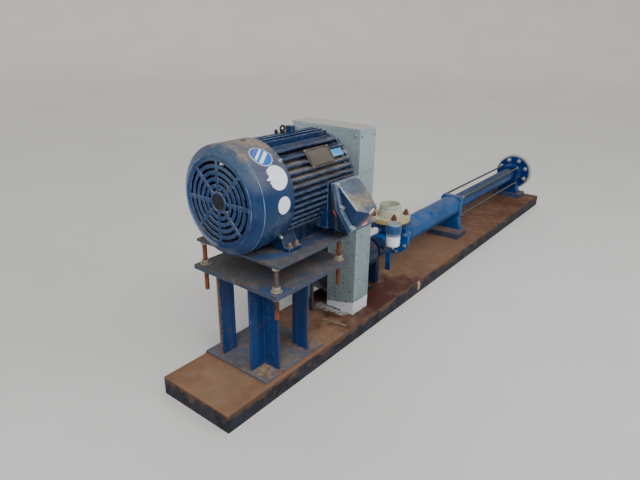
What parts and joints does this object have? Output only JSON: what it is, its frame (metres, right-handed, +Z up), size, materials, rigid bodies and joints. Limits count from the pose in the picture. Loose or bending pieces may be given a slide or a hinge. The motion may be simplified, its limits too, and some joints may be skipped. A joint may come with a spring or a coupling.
{
  "type": "progressing-cavity screw pump on a skid",
  "caption": "Belt-driven single helical screw pump on a long low steel skid, with a finned motor on a raised adjustable stand and a tall belt guard.",
  "frame": {"origin": "on the floor, under the middle of the skid", "axes": "+X along the skid from the motor end to the discharge end, -Y the conduit-box side, +Z up"},
  "size_m": [3.622, 0.612, 1.03],
  "materials": {
    "deck_rust": "rusted and dirty",
    "rail_paint": "dull worn blue with rust",
    "stand_paint": "semi-gloss blue, dirty",
    "plate_grey": "dusty worn paint",
    "rod_rust": "rusted",
    "motor_navy": "semi-gloss, dusty on top",
    "dark_steel": "oily dark",
    "galvanised": "spangled galvanised sheet",
    "belt_rubber": "matte",
    "pump_blue": "gloss, worn and dusty on top",
    "bright_steel": "machined",
    "pale_cream": "dull, stained",
    "white_plastic": "satin"
  },
  "bodies": {
    "root": {"skid_rail_near": "rail_paint", "skid_rail_far": "rail_paint", "skid_end_plate_front": "rail_paint", "skid_end_plate_rear": "rail_paint", "skid_cross_member_1": "rail_paint", "skid_cross_member_2": "rail_paint", "skid_cross_member_3": "rail_paint", "deck_plate": "deck_rust", "stand_base_plate": "plate_grey", "stand_leg_1": "stand_paint", "stand_leg_2": "stand_paint", "stand_leg_3": "stand_paint", "stand_leg_4": "stand_paint", "stand_top_plate": "plate_grey", "jack_rod_1": "rod_rust", "jack_rod_2": "rod_rust", "jack_rod_3": "rod_rust", "jack_rod_4": "rod_rust", "motor_plate": "plate_grey", "motor_frame": "motor_navy", "motor_foot_near": "motor_navy", "motor_foot_far": "motor_navy", "motor_drive_end_bracket": "motor_navy", "motor_shaft": "bright_steel", "fan_cowl": "motor_navy", "fan": "dark_steel", "conduit_box_base": "motor_navy", "conduit_box_cover": "motor_navy", "belt_guard": "galvanised", "guard_stay": "plate_grey", "motor_sheave": "dark_steel", "pump_sheave": "dark_steel", "drive_belts": "belt_rubber", "pump_shaft": "bright_steel", "connecting_rod": "dark_steel", "bearing_housing": "pump_blue", "gland": "dark_steel", "suction_casing": "pump_blue", "inlet_companion_flange": "pale_cream", "casing_tube": "pump_blue", "mid_support": "pump_blue", "mid_support_pad": "rail_paint", "stator_tube": "pump_blue", "tie_rod_1": "pump_blue", "tie_rod_2": "pump_blue", "tie_rod_3": "pump_blue", "tie_rod_4": "pump_blue", "end_casting": "pump_blue", "end_support_pad": "rail_paint", "outlet_companion_flange": "pale_cream", "rotor": "bright_steel", "lubricator": "white_plastic"}
  },
  "joints": []
}
